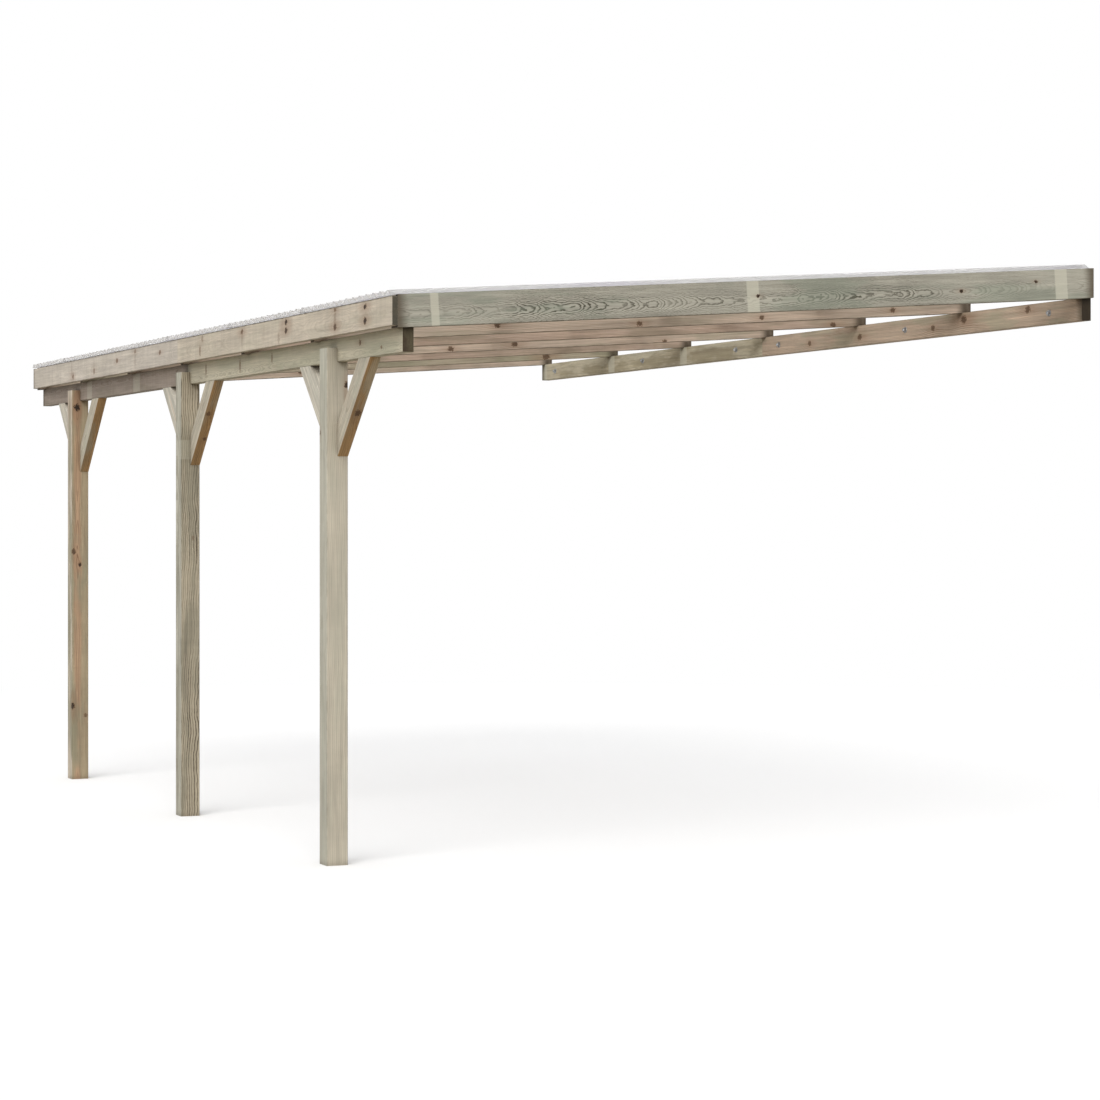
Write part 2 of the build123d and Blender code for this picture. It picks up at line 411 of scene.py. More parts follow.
# %% [markdown]
# ## Knots
#
# A knot is a branch that the trunk grew round. On a face it is a brown or black spot,
# a little longer along the grain, and the rings close round it like an eye.
# One small group does both jobs: it darkens a spot, and it swells the ring distance
# near the spot so that the sawn pine's lines bend. The groups are chained, one a knot,
# which keeps every knot where the photograph has it.

# %% A node group for one knot
branch, given = new_group("one_knot", {
    "Vector": ("Place", "Centre", "Reach"), "Float": ("Darkness", "Lift", "Knot", "Swell"),
}, {"Float": ("Knot", "Swell")})
spot = vector_sum(branch, "SUBTRACT", given["Place"], given["Centre"])
spot = vector_sum(branch, "MULTIPLY", spot, given["Reach"])
wobble = sum_up(branch, "SUBTRACT", grainy(branch, given["Place"], 130.0, 3.0), 0.5)
edge = sum_up(branch, "MULTIPLY_ADD", wobble, 2.0, vector_sum(branch, "LENGTH", spot))
core = fade(branch, edge, 0.50, 1.25, 1.0, 0.0)
core = times(branch, core, fade(branch, edge, 0.1, 0.7, 0.90, 1.0))
core = times(branch, core, given["Darkness"])
around = vector_sum(branch, "LENGTH", vector_sum(branch, "MULTIPLY", spot, (0.42, 1.0, 1.0)))
bulge = times(branch, fade(branch, around, 0.0, 3.4, 1.0, 0.0), given["Lift"])
hand_out(branch, {"Knot": sum_up(branch, "MAXIMUM", core, given["Knot"]),
                  "Swell": sum_up(branch, "ADD", bulge, given["Swell"])})

# %% [markdown]
# ## Tones
#
# The timbers came from different trees and took up the green salt unevenly.
# The photograph has every tone from the silver-green front board to the pink rafters,
# so each kind of timber gets one of its own, matched to the middle of its face.
# A tone is three paints: the pale spring wood, the dark summer wood and a blotch.

# %% Name the tones of the timbers
TONES = {
    "silver": ((172, 169, 157), (78, 75, 63), (138, 144, 130)),
    "cream": ((204, 194, 178), (166, 152, 134), (186, 180, 162)),
    "chalk": ((202, 194, 183), (164, 153, 140), (188, 181, 168)),
    "pale": ((194, 187, 171), (146, 137, 118), (178, 178, 162)),
    "mint": ((188, 186, 173), (156, 152, 136), (170, 175, 162)),
    "drift": ((180, 170, 150), (84, 75, 60), (136, 132, 116)),
    "fox": ((172, 158, 132), (116, 90, 68), (146, 142, 120)),
    "straw": ((199, 193, 173), (146, 137, 114), (174, 174, 152)),
    "rose": ((198, 180, 161), (138, 108, 88), (176, 170, 148)),
    "blush": ((194, 178, 162), (142, 118, 100), (166, 156, 138)),
    "moss": ((207, 200, 178), (136, 122, 102), (160, 150, 126)),
    "russet": ((189, 169, 153), (134, 110, 93), (156, 142, 124)),
    "sage": ((178, 168, 148), (122, 110, 90), (148, 144, 122)),
    "toffee": ((184, 152, 112), (112, 80, 52), (146, 124, 88)),
    "bone": ((208, 203, 190), (168, 160, 142), (190, 190, 178)),
    "lilac": ((156, 144, 133), (104, 91, 82), (132, 123, 108)),
    "ash": ((150, 152, 146), (110, 110, 102), (130, 132, 124)),
    # This tone is painted shade on the rafters' undersides, and damp wood on the sawn front ends.
    "damp_and_shade": ((134, 122, 106), (86, 74, 60), (112, 104, 90)),
}
TONES = {tone: [paint(*c) for c in colours] for tone, colours in TONES.items()}
HEARTWOOD = paint(182, 142, 114)
print(len(TONES), "tones")

# %% [markdown]
# ## Dressing a timber
#
# A timber needs its own place system: one axis along the grain and two across it,
# measured from one end or from its middle. A Mapping node of the Texture kind gives that.
# The function also welds the imported corners, which come split in three,
# and planes every long edge a little round with a bevel, as the planing mill does.
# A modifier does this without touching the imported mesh.

# %% The ways of the grain, and planed edges
ROOF_FALL = 3.839  # degrees
WAYS = {
    "up": (0.0, -90.0, 0.0),  # posts, the grain runs up
    "back": (0.0, 0.0, 90.0),  # beam, plate, eave boards and battens, front to back
    "slope": (0.0, -ROOF_FALL, 0.0),  # rafters and end boards, up the fall of the roof
    "forward": (0.0, -45.0, -90.0),  # braces that rise to the front
    "rearward": (0.0, -45.0, 90.0),  # braces that rise to the back
}


def grain_vector(way):
    turn = [math.radians(a) for a in WAYS[way]]
    flat = Vector((math.cos(turn[1]), 0.0, -math.sin(turn[1])))
    return Vector((flat.x * math.cos(turn[2]), flat.x * math.sin(turn[2]), flat.z))


def plane_edges(piece, round_by):
    """Weld the split corners and plane the edges round."""
    weld = piece.modifiers.new("welded", "WELD")
    weld.merge_threshold = 0.0001
    bevel = piece.modifiers.new("planed", "BEVEL")
    bevel.width = round_by
    bevel.segments = 2
    bevel.limit_method = "ANGLE"
    bevel.angle_limit = math.radians(40.0)
    bevel.harden_normals = True


print("ways of the grain:", ", ".join(WAYS))

# %% [markdown]
# Knots, clean strips and soaked ends sit at measured places along a timber. They could be
# painted on, but a few nodes for each keep them exact and part of the solid wood,
# and then a list of numbers is all that a timber needs.

# %% Marks and knots at measured places
def feed_group(tree, group, feeds):
    """Add a node group to a tree, feed its sockets and return its outputs."""
    return step(tree, "ShaderNodeGroup", feeds, node_tree=group).node.outputs


def away_from(tree, along, at):
    """How far a point is from a place along the timber."""
    return sum_up(tree, "ABSOLUTE", sum_up(tree, "SUBTRACT", along, at))


def add_marks(tree, along, marks, strength=1.0):
    """Stripes round the timber, each given as (where, full up to, gone from)."""
    total = 0.0
    for number, (where, full, gone) in enumerate(marks):
        mark = fade(tree, away_from(tree, along, where), full, gone, strength, 0.0)
        total = sum_up(tree, "MAXIMUM", total, mark) if number else mark
    return total


def add_knots(tree, place, knots):
    """Chain one knot group a knot, and return the darkness and the swelling."""
    knot = swell = 0.0
    for lengthwise, u, v, size, darkness, *tall in knots:
        across = 1.0 / (size * (tall[0] if tall else 1.0))
        reach = (0.8 / size, 0.0 if u is None else across, 0.0 if v is None else across)
        lift = size * 0.75 * min(1.0, darkness)
        made = feed_group(tree, branch, {
            "Place": place, "Centre": (lengthwise, u or 0.0, v or 0.0), "Reach": reach,
            "Darkness": darkness, "Lift": lift, "Knot": knot, "Swell": swell})
        knot, swell = made["Knot"], made["Swell"]
    return knot, swell


print("a knot adds one", branch.name, "group")

# %% Give one timber its finish
STRIP_EDGE = 0.003  # a clean strip fades out over twice this
END_SOAK_AND_SHADE = 0.055  # how far an end darkens: soaked wood, and painted shade at the rafters' wall ends


def dress(name, way, origin, tone, seed, pith, section, ring=0.0035, wander=0.05, taper=0.0,
          contrast=0.6, figure=None, blotches=0.5, heart=0.0, raw=1.0, chatter=0.10, shade_and_wear=1.0,
          knots=(), bands=(), shown=1.0, ends=(), other=None, other_way=(-1.0, 0.0, 0.0),
          round_by=0.0015):
    """Give a timber its pine. Places are metres in its own axes, measured from origin.

    section: its width and height, then its middle across and up
    ring, wander, taper: width of a year, how far the log bends, how fast it thins
    figure: (where, reach) of the stretch that shows its rings most
    knots: (along, across, up, size, darkness, how many times as tall), None is right through
    bands, shown: (where, width) of clean strips, and how clearly they show
    ends: where rain has soaked in, and painted shade at the rafters' wall ends
    other: the tone of the faces that look other_way
    """
    finish, tree = new_finish(name + "_wood")
    turn = [math.radians(a) for a in WAYS[way]]
    feeds = {"Vector": own_place(tree), "Location": origin, "Rotation": turn}
    place = step(tree, "ShaderNodeMapping", feeds, vector_type="TEXTURE")
    knot, swell = add_knots(tree, place, knots)
    along = step(tree, "ShaderNodeSeparateXYZ", {0: place}, "X")
    strips = [(at, wide / 2 - STRIP_EDGE, wide / 2 + STRIP_EDGE) for at, wide in bands]
    if figure:
        off = away_from(tree, along, figure[0])
        contrast = fade(tree, off, 0.2, figure[1], contrast, contrast * 0.3)
    early, late, blotch = TONES[tone]
    other_early, other_late, _ = TONES[other or tone]
    made = feed_group(tree, pine, {
        "Place": place, "Seed": seed, "Pith": (0.0, *pith), "Ring": ring, "Wander": wander,
        "Taper": taper, "Contrast": contrast, "Early": early, "Late": late,
        "Other early": other_early, "Other late": other_late, "Other way": other_way,
        "Grain way": grain_vector(way), "Blotch": blotch, "Blotches": blotches,
        "Heart": HEARTWOOD, "Heart reach": heart, "Middle": (0.0, section[2], section[3]),
        "Half": (0.0, section[0] / 2, section[1] / 2), "Shade and wear": shade_and_wear, "Chatter": chatter,
        "Raw": raw, "Knot": knot, "Swell": swell,
        "Pale": add_marks(tree, along, strips, shown),
        "End": add_marks(tree, along, [(at, 0.0, END_SOAK_AND_SHADE) for at in ends])})
    feeds = {"Strength": 0.6, "Distance": 0.0008, "Height": made["Height"]}
    show(tree, step(tree, "ShaderNodeBsdfPrincipled", {
        "Base Color": made["Colour"], "Roughness": made["Roughness"],
        "Normal": step(tree, "ShaderNodeBump", feeds), "Specular IOR Level": 0.25}, "BSDF"))
    piece = timbers[name]
    piece.material_slots[0].material = finish
    if round_by:
        plane_edges(piece, round_by)


def lying(name):
    """Origin and section of a timber that lies front to back."""
    low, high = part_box(name)
    wide, tall = high.x - low.x, high.z - low.z
    return ((low.x + high.x) / 2, 0.0, low.z), (wide, tall, 0.0, tall / 2)


print("rain soaks", END_SOAK_AND_SHADE, "m into an end")

# %% [markdown]
# ## Posts
#
# The posts are 90 mm square and boxed round the heart of the log, so all four faces differ.
# The front one is pale and even, the middle one grey-brown with strong rings,
# and the back one foxy with a black knot hole just under the beam.
# The face to the open side is paler on all three: more green salt, and painted light.
# One finish for three posts would be quicker, but the eye finds the twins at once.
# The imported posts already have rounded edges, so they get no bevel.

# %% Dress the posts
# other is the paler tone of the faces to the open side: salted wood, and painted light
POSTS = {
    "front": dict(
        tone="pale", other="mint", seed=1.0, pith=(0.01, -0.12), ring=0.0080, contrast=0.5,
        blotches=0.3, wander=0.035, raw=0.9,
        knots=[(1.928, -0.045, -0.041, 0.012, 1.0), (1.85, -0.045, -0.040, 0.008, 0.8),
               (1.739, 0.040, 0.045, 0.010, 0.9)]),
    "middle": dict(
        tone="drift", other="mint", seed=2.4, pith=(0.03, -0.09), ring=0.0085, contrast=1.1,
        blotches=0.6, wander=0.07, taper=0.02, chatter=0.2, raw=1.3,
        bands=[(1.713, 0.09)], shown=0.4, knots=[(1.30, None, -0.012, 0.010, 0.3)]),
    "back": dict(
        tone="fox", other="cream", seed=3.0, pith=(-0.034, 0.014), ring=0.0065, contrast=0.8,
        blotches=0.8, wander=0.035, heart=0.014, chatter=0.15, raw=1.2,
        knots=[(1.983, None, 0.0173, 0.017, 1.1), (1.215, -0.045, 0.036, 0.013, 0.8),
               (1.145, None, 0.001, 0.009, 1.0), (0.391, -0.045, 0.045, 0.016, 1.0),
               (0.338, None, -0.029, 0.010, 0.7)]),
}
for place, facts in POSTS.items():
    low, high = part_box("post_" + place)
    origin = ((low.x + high.x) / 2, (low.y + high.y) / 2, ground)
    dress("post_" + place, "up", origin, section=(0.09, 0.09, 0.0, 0.0), round_by=0.0, **facts)
print("dressed", len(POSTS), "posts")

# %% [markdown]
# ## Braces
#
# Six short planks stand at 45 degrees between the posts and the beam and keep the frame square.
# Their outer faces are nearly white, and the undersides are given a darker toffee brown.
# Two materials could do that, one a face. Here the pine picks its second tone itself,
# wherever a face looks down along the brace, so the rings still join at the edge.

# %% Dress the braces
SLANT = 0.7071  # sine of 45 degrees
BRACE_KNOTS = {
    "brace_front_forward": [(-0.03, 0.004, None, 0.015, 0.75)],
    "brace_middle_forward": [(0.06, -0.006, None, 0.012, 0.6), (-0.10, 0.010, None, 0.009, 0.7)],
    "brace_back_rearward": [(0.02, 0.004, None, 0.012, 0.7)],
}
seed = 10.0
for place in POSTS:
    for side, tone in (("forward", "pale"), ("rearward", "bone")):
        name = f"brace_{place}_{side}"
        low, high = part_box(name)
        under = (0.0, -SLANT if side == "forward" else SLANT, -SLANT)
        dress(name, side, (low + high) / 2, tone, seed, (0.03, 0.05),
              section=(high.x - low.x, 0.4, 0.0, 0.0), ring=0.0045, contrast=0.7, chatter=0.2,
              raw=1.5, other="toffee", other_way=under, knots=BRACE_KNOTS.get(name, ()))
        seed += 1.0
print("dressed 6 braces")

# %% [markdown]
# ## Beam and wall plate
#
# The beam under the rafters and the plate on the wall are each made of two lengths,
# one straw, one grey, one pink and one mossy.
# Their knots, rain-dark ends and the faint painted shadow and dirt round the bolts were placed
# by measuring the photograph, because scattered knots would never match it.
# The plate gets no bevel, which would also round the rims of its bolt holes.

# %% Dress the beam and the wall plate
BEAM_KNOTS = [
    (-0.293, None, 0.055, 0.010, 0.4, 3.0), (-0.808, None, 0.048, 0.009, 0.5, 3.5),
    (-1.259, None, 0.058, 0.009, 0.4, 3.0), (-2.36, None, 0.062, 0.012, 0.75),
    (-2.60, None, 0.03, 0.008, 0.5)]
# Painted shadow and dirt: a faint dark ring on the plate round each bolt
BOLT_SHADOW_AND_DIRT = [(at, None, 0.0475, 0.015, 0.22) for at in (-2.585, -1.397, -0.163)]
PLATE_KNOTS = [
    (-2.421, None, 0.0723, 0.016, 0.74), (-1.905, None, 0.063, 0.019, 0.78),
    (-1.643, None, 0.041, 0.014, 0.68), (-0.976, None, 0.039, 0.016, 0.74),
    (-0.482, None, 0.036, 0.014, 0.70)]
LONG_TIMBERS = {
    "beam_front": dict(
        tone="straw", seed=20.0, pith=(0.05, 0.02), contrast=0.7, knots=BEAM_KNOTS),
    "beam_back": dict(
        tone="lilac", seed=21.0, pith=(0.05, 0.07), contrast=0.7, chatter=0.3,
        bands=[(0.89, 0.12), (1.81, 0.10)], shown=0.5, ends=(2.83,)),
    "wall_plate_front": dict(
        tone="rose", seed=22.0, pith=(-0.02, -0.06), contrast=0.9, blotches=0.7, ring=0.006,
        wander=0.05, raw=1.3, knots=BOLT_SHADOW_AND_DIRT + PLATE_KNOTS, ends=(-2.83,), round_by=0.0),
    "wall_plate_back": dict(
        tone="moss", seed=23.0, pith=(-0.02, -0.06), contrast=0.8, blotches=0.9, ring=0.006,
        bands=[(0.92, 0.08), (1.84, 0.08), (2.786, 0.06)], ends=(2.83,), round_by=0.0),
}
for name, facts in LONG_TIMBERS.items():
    origin, section = lying(name)
    dress(name, "back", origin, section=section, shade_and_wear=1.3, other="damp_and_shade",
          other_way=(0.0, -1.0, 0.0), **facts)
print("dressed", len(LONG_TIMBERS), "lengths of beam and plate")

# %% [markdown]
# ## Rafters
#
# Seven rafters carry the roof. From the front only a strip of each shows,
# and every one has its own knots and its own pink or brown. One loop dresses them all,
# and only what differs is in lists: that keeps them a family, but not copies.

# %% Dress the rafters
UNDER_SLOPE = (0.067, 0.0, -0.998)  # square to the rafters' undersides
RAFTER_KNOTS = (
    [(-1.1, None, 0.05, 0.012, 0.78)],
    [(-2.322, None, 0.037, 0.012, 0.80), (-1.662, None, 0.017, 0.012, 0.78),
     (-1.07, None, 0.020, 0.011, 0.78), (-0.407, None, 0.028, 0.012, 0.78)],
    [(-0.182, None, 0.012, 0.013, 0.78), (-1.9, None, 0.06, 0.014, 0.78)],
    [(-1.444, None, 0.026, 0.014, 0.78), (-1.784, None, 0.016, 0.013, 0.78),
     (-0.621, None, 0.006, 0.010, 0.78)],
    [(-2.3, None, 0.012, 0.012, 0.78), (-0.9, None, 0.07, 0.012, 0.78)],
    [(-0.452, None, 0.018, 0.019, 0.78)],
    [(-1.6, None, 0.03, 0.013, 0.78), (-2.5, None, 0.01, 0.010, 0.78)],
)
RAFTER_TONES = ("blush", "blush", "russet", "blush", "russet", "sage", "blush")
# Each rafter's underside takes the darker tone as painted shade, and its wall end is darkened as
# soaked wood and painted shade.
for number, (tone, knots) in enumerate(zip(RAFTER_TONES, RAFTER_KNOTS), start=1):
    low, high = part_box(f"rafter_{number}")
    dress(f"rafter_{number}", "slope", (0.0, (low.y + high.y) / 2, 0.0475), tone,
          30.0 + number, (0.01, -0.07 - 0.006 * number), section=(0.045, 0.095, 0.0, 0.0475),
          ring=0.0062, wander=0.022, contrast=0.8, blotches=0.8, raw=1.3, shade_and_wear=1.8,
          knots=knots, ends=(0.0, -0.03), other="damp_and_shade", other_way=UNDER_SLOPE)
print("dressed", len(RAFTER_TONES), "rafters")

# %% [markdown]
# ## Boards round the edge
#
# Boards hide the rafters' ends. The front one is the showpiece of the photograph:
# silver-green, with dark arches where the saw cut almost along the rings.
# Such arches need a pith close behind the face and a log that thins along its length.
# A drawn pattern would be nearer to this one board, but it would end at the edges,
# while these rings run on over the top and the sawn end.

# %% Dress the end boards
BOARD_KNOTS = [(-1.596, None, 0.064, 0.007, 1.2), (-0.649, None, 0.051, 0.008, 1.3),
               (-0.284, None, 0.078, 0.007, 1.3)]
for place, y in (("front", -2.85), ("back", 2.85)):
    dress("fascia_" + place, "slope", (0.0, y, 0.0475), "silver", 41.0, (0.050, 0.050),
          section=(0.044, 0.128, 0.0, 0.064), ring=0.0031, wander=0.075, taper=0.06,
          contrast=1.7, figure=(-1.85, 1.8), blotches=0.6, raw=1.2, shade_and_wear=1.3,
          knots=BOARD_KNOTS, bands=[(-2.98, 0.033), (-1.618, 0.054), (-0.159, 0.06)],
          ends=(-3.13, 0.0))
print("dressed 2 end boards")

# %% [markdown]
# The eave board is cream and was sawn across the rings, so it has nearly no figure.
# What the photograph shows on it are spike knots: branches cut lengthwise, which leave
# a dark dot with a tall faint smear. So its marks also say how tall each one is.

# %% Dress the eave boards
KNOT_SIZE = 0.014
KNOTS_LOWER = 0.004  # the marks below were measured this much too high
EAVE_MARKS = {  # (along, up, darkness, how many times as tall)
    "front": [(-2.553, 0.040, 1.0, 1.0), (-2.553, 0.094, 1.0, 0.8), (-2.207, 0.038, 0.8, 1.0),
              (-2.207, 0.105, 0.5, 0.8), (-2.207, 0.07, 0.25, 3.0), (-1.597, 0.060, 0.9, 1.0),
              (-1.597, 0.095, 1.0, 0.9), (-1.50, 0.03, 0.25, 2.0), (-0.994, 0.090, 0.7, 0.9),
              (-0.994, 0.06, 0.2, 3.0), (-0.364, 0.042, 0.35, 2.0), (-0.40, 0.095, 0.3, 1.4),
              (-1.3, 0.06, 0.15, 4.0)],
    "back": [(0.294, 0.070, 0.6, 0.8), (0.737, 0.10, 0.4, 0.8), (0.737, 0.06, 0.2, 4.0),
             (1.073, 0.070, 0.6, 1.0), (1.525, 0.041, 0.4, 1.4), (1.525, 0.07, 0.15, 4.0),
             (1.962, 0.030, 0.6, 1.2), (1.99, 0.07, 0.2, 4.0), (2.42, 0.06, 0.15, 4.0)],
}
for place, tone, seed in (("front", "cream", 43.0), ("back", "chalk", 47.0)):
    origin, section = lying("fascia_eave_" + place)
    knots = [(at, None, up - KNOTS_LOWER, KNOT_SIZE, dark, stretch)
             for at, up, dark, stretch in EAVE_MARKS[place]]
    dress("fascia_eave_" + place, "back", origin, tone, seed, (0.09, 0.05), section,
          ring=0.004, contrast=0.4, blotches=0.4, chatter=0.28, shade_and_wear=1.3, knots=knots,
          ends=(2.86,), other="ash", other_way=(0.0, -1.0, 0.0))
print("dressed 2 eave boards,", round(section[1] * 1000), "mm high")

# %% [markdown]
# ## Battens
#
# Five battens lie across the rafters and carry the sheets. They hardly show in the photograph,
# but the clear roof lets them be seen from above, so they get plain pine without knots.

# %% Dress the battens
for number in range(1, 6):
    origin, section = lying(f"batten_{number}")
    dress(f"batten_{number}", "back", origin, "bone" if number == 1 else "rose",
          50.0 + number, (0.05, 0.03), section, contrast=0.5)
print("dressed 5 battens,", round(section[1] * 1000), "mm high")

# %% [markdown]
# ## Roof sheets
#
# The roof is clear corrugated plastic, 1.5 mm thick, laid on the battens from front to back,
# each sheet with its first wave on the last wave of the sheet before.
# The CAD solids have eight flats to a wave, which is enough to weigh and to collide with,
# but light shows every flat on a glossy sheet. So each sheet is drawn again with a true wave,
# on the same lines, and stands for its CAD solid. The sheets are shaded smooth,
# while the cut edges stay sharp because their faces are left flat.

# %% Find the way on the roof
FALL = math.radians(ROOF_FALL)
UP_SLOPE = Vector((math.cos(FALL), 0.0, math.sin(FALL)))
OFF_SLOPE = Vector((-math.sin(FALL), 0.0, math.cos(FALL)))
EAVE_X, EAVE_Z = -3.156, -0.038996  # the sheets' lower edge, level with the battens' tops
SHEET_LONG = 3.134 / math.cos(FALL)
SHEET_THICK = 0.0015
WAVE_WIDE = 0.076
WAVE_HIGH = 0.018
LAP_LIFT = 0.0017  # how much higher a sheet lies where it laps the one before


def on_slope(far, y, lift):
    """A point far up the slope from the eave, lifted square to the battens' tops."""
    return Vector((EAVE_X, y, EAVE_Z)) + UP_SLOPE * far + OFF_SLOPE * lift


def wave_height(turn, lapped):
    """Height of a sheet's underside over the battens, turn in waves from its front edge."""
    settle = min(1.0, max(0.0, 2.0 - turn)) if lapped else 0.0
    return WAVE_HIGH / 2 * (1.0 - math.cos(2.0 * math.pi * turn)) + LAP_LIFT * settle


print("a sheet is", round(SHEET_LONG, 3), "m long")

# %% Draw one corrugated sheet
CURVE_STEPS = 24  # flats to a wave
CLOUDED_LONG = 0.10  # how far dirt and weather have clouded the lower edge
CUT, CLOUDED = 1, 2  # material slots, after the clear plastic in slot 0
LAST_SHEET = 6


def corrugated_sheet(number):
    """The mesh of one sheet, and how many waves it has."""
    low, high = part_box(f"roof_sheet_{number}")
    waves = round((high.y - low.y) / WAVE_WIDE)
    wave = (high.y - low.y) / waves
    wide = waves * CURVE_STEPS
    stops = (0.0, CLOUDED_LONG, 0.8, 1.6, 2.4, SHEET_LONG)
    mesh = bmesh.new()

    def skin(lift):
        """The under or upper side as rows of points across the slope."""
        rows = []
        for far in stops:
            row = []
            for turn in (point / CURVE_STEPS for point in range(wide + 1)):
                rise = wave_height(turn, number > 1) + lift
                row.append(mesh.verts.new(on_slope(far, low.y + turn * wave, rise)))
            rows.append(row)
        return rows

    def close(corners, slot, smooth=False):
        face = mesh.faces.new(corners)
        face.smooth = smooth
        face.material_index = slot

    under, over = skin(0.0), skin(SHEET_THICK)
    for row in range(len(stops) - 1):
        a, b, c, d = under[row], under[row + 1], over[row], over[row + 1]
        for at in range(wide):
            slot = 0
            if number == 1 and at < CURVE_STEPS:
                slot = CUT
            elif row == 0 and (number == LAST_SHEET or at < wide - CURVE_STEPS):
                slot = CLOUDED
            close((a[at], b[at], b[at + 1], a[at + 1]), slot, smooth=True)
            close((c[at], c[at + 1], d[at + 1], d[at]), slot, smooth=True)
        close((a[0], c[0], d[0], b[0]), CUT)
        close((b[wide], d[wide], c[wide], a[wide]), CUT)
    for row, back_to_front in ((0, False), (len(stops) - 1, True)):
        a, c = under[row], over[row]
        for at in range(wide):
            rim = (a[at], a[at + 1], c[at + 1], c[at])
            close(rim[::-1] if back_to_front else rim, CUT)
    return mesh, waves


print("a wave is drawn in", CURVE_STEPS, "flats")

# %% [markdown]
# In the photograph the sheets themselves hardly show, but their edge over the boards
# is a white line. Three plastics give that: the clear sheet, a cut and rubbed one
# for the edges and the first wave, and a milky one for the lowest hand's width,
# where dirt and weather have clouded it. Fully clear plastic would turn that line grey,
# because it would show the dark side of the next wave. The last wave under a lap stays clear.

# %% Clear plastic for the sheets
def add_piece(name, mesh, finish, smooth=None):
    """Turn a drawn mesh into a piece of the carport."""
    bmesh.ops.recalc_face_normals(mesh, faces=mesh.faces)
    if smooth is not None:
        for face in mesh.faces:
            face.smooth = smooth
    data = bpy.data.meshes.new(name)
    mesh.to_mesh(data)
    mesh.free()
    piece = bpy.data.objects.new(name, data)
    data.materials.append(finish)
    bpy.context.collection.objects.link(piece)
    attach(piece, "root")
    return piece


def clear_plastic(name, covers, clear, cloudy, shine, rough, clean, dusty):
    """Sheet plastic, a little dusty. covers, clear, cloudy and shine are the same all over it."""
    made, tree = new_finish(name)
    seen = own_place(tree)
    dust = grainy(tree, vector_sum(tree, "MULTIPLY", seen, (1.5, 9.0, 1.5)), 1.0, 4.0)
    drawn = grainy(tree, vector_sum(tree, "MULTIPLY", seen, (0.4, 260.0, 0.4)))
    ripple = step(tree, "ShaderNodeBump", {"Strength": 0.12, "Distance": 0.0004, "Height": drawn})
    show(tree, step(tree, "ShaderNodeBsdfPrincipled", {
        "Base Color": stain(tree, fade(tree, dust, 0.42, 0.72), clean, dusty),
        "Roughness": fade(tree, dust, 0.3, 0.7, rough, rough + 0.08), "Normal": ripple,
        "Subsurface Weight": cloudy, "Subsurface Radius": (1.0, 1.0, 1.0),
        "Subsurface Scale": 0.02, "IOR": 1.49, "Specular IOR Level": shine,
        "Transmission Weight": clear, "Alpha": covers}, "BSDF"))
    return made


plastics = [
    clear_plastic("clear_sheet", 0.16, 0.60, 0.0, 0.5, 0.05,
                  paint(253, 253, 255), paint(246, 245, 253)),
    clear_plastic("cut_sheet", 0.50, 0.0, 1.0, 0.2, 0.35,
                  paint(254, 254, 255), paint(240, 236, 255)),
    clear_plastic("milky_sheet", 0.90, 0.0, 1.0, 0.0, 0.45,
                  paint(250, 247, 255), paint(236, 230, 252)),
]
for number in range(1, LAST_SHEET + 1):
    mesh, waves = corrugated_sheet(number)
    sheet = add_piece(f"clear_roof_sheet_{number}", mesh, plastics[0])
    for other_plastic in plastics[1:]:
        sheet.data.materials.append(other_plastic)
    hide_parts(f"roof_sheet_{number}")
print("drew", LAST_SHEET, "sheets, the last with", waves, "waves")

# %% [markdown]
# ## Roof screws
#
# Every third wave or so is screwed through its crest into the batten below, and so is each lap.
# A roofing screw has a small domed head on a wide soft washer, and the washer bends over
# the crest. Both are under a pale plastic cap, so the screws hardly show against the sheets.
# One outline is turned round the screw's axis, and each of its points is then laid on the wave.

# %% Two finishes for small parts
def mottled(name, lumps, spread, light, dark, shine, metal):
    """Two shades in spots; shine is the roughness of the one and of the other."""
    made, tree = new_finish(name)
    spots = grainy(tree, own_place(tree), lumps, 3.0)
    show(tree, step(tree, "ShaderNodeBsdfPrincipled", {
        "Base Color": stain(tree, fade(tree, spots, *spread), light, dark),
        "Roughness": fade(tree, spots, 0.3, 0.7, *shine), "Metallic": metal}, "BSDF"))
    return made


zinc = mottled("zinc", 240.0, (0.35, 0.65), paint(196, 198, 200), paint(136, 138, 140),
               (0.26, 0.46), 1.0)
caps = mottled("screw_caps", 180.0, (0.4, 0.7), paint(240, 240, 246), paint(206, 206, 208),
               (0.28, 0.5), 0.0)
print("finishes", zinc.name, "and", caps.name)

# %% Turn an outline round an axis
def around_axis(radius, angle):
    """Millimetres from the axis, at an angle, as two lengths in metres."""
    return radius / 1000 * math.cos(angle), radius / 1000 * math.sin(angle)


def turned(mesh, outline, place, sides=14):
    """Turn an outline of (radius, height) in mm; place(u, v, h) says where a point lies."""
    rings = []
    for radius, high in outline:
        angles = [2.0 * math.pi * side / sides for side in range(sides)] if radius else [0.0]
        rings.append([mesh.verts.new(place(*around_axis(radius, angle), high / 1000))
                      for angle in angles])
    for upper, lower in zip(rings, rings[1:]):
        for side in range(sides):
            after = (side + 1) % sides
            if len(upper) == 1:
                mesh.faces.new((upper[0], lower[side], lower[after]))
            else:
                mesh.faces.new((upper[side], lower[side], lower[after], upper[after]))
    mesh.faces.new(rings[-1][::-1])


print("a turned piece has", turned.__defaults__[0], "sides")

# %% Screw the sheets down
SCREW_OUTLINE = ((0.0, 2.8), (2.4, 2.6), (3.5, 2.0), (3.8, 1.2), (7.2, 1.0), (7.9, 0.6), (8.0, 0.0))
SHEET_STEP = 13  # waves from one sheet's front edge to the next one's
ROOF_WAVES = 75  # waves of the whole roof
SCREW_TO_WALL = 0.064  # no screw is nearer to the wall
roof_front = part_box("roof_sheet_1")[0].y


def on_roof(x, y, lift):
    """A point at x and y, lifted square to the battens' tops."""
    return on_slope((x - EAVE_X) / math.cos(FALL), y, lift)


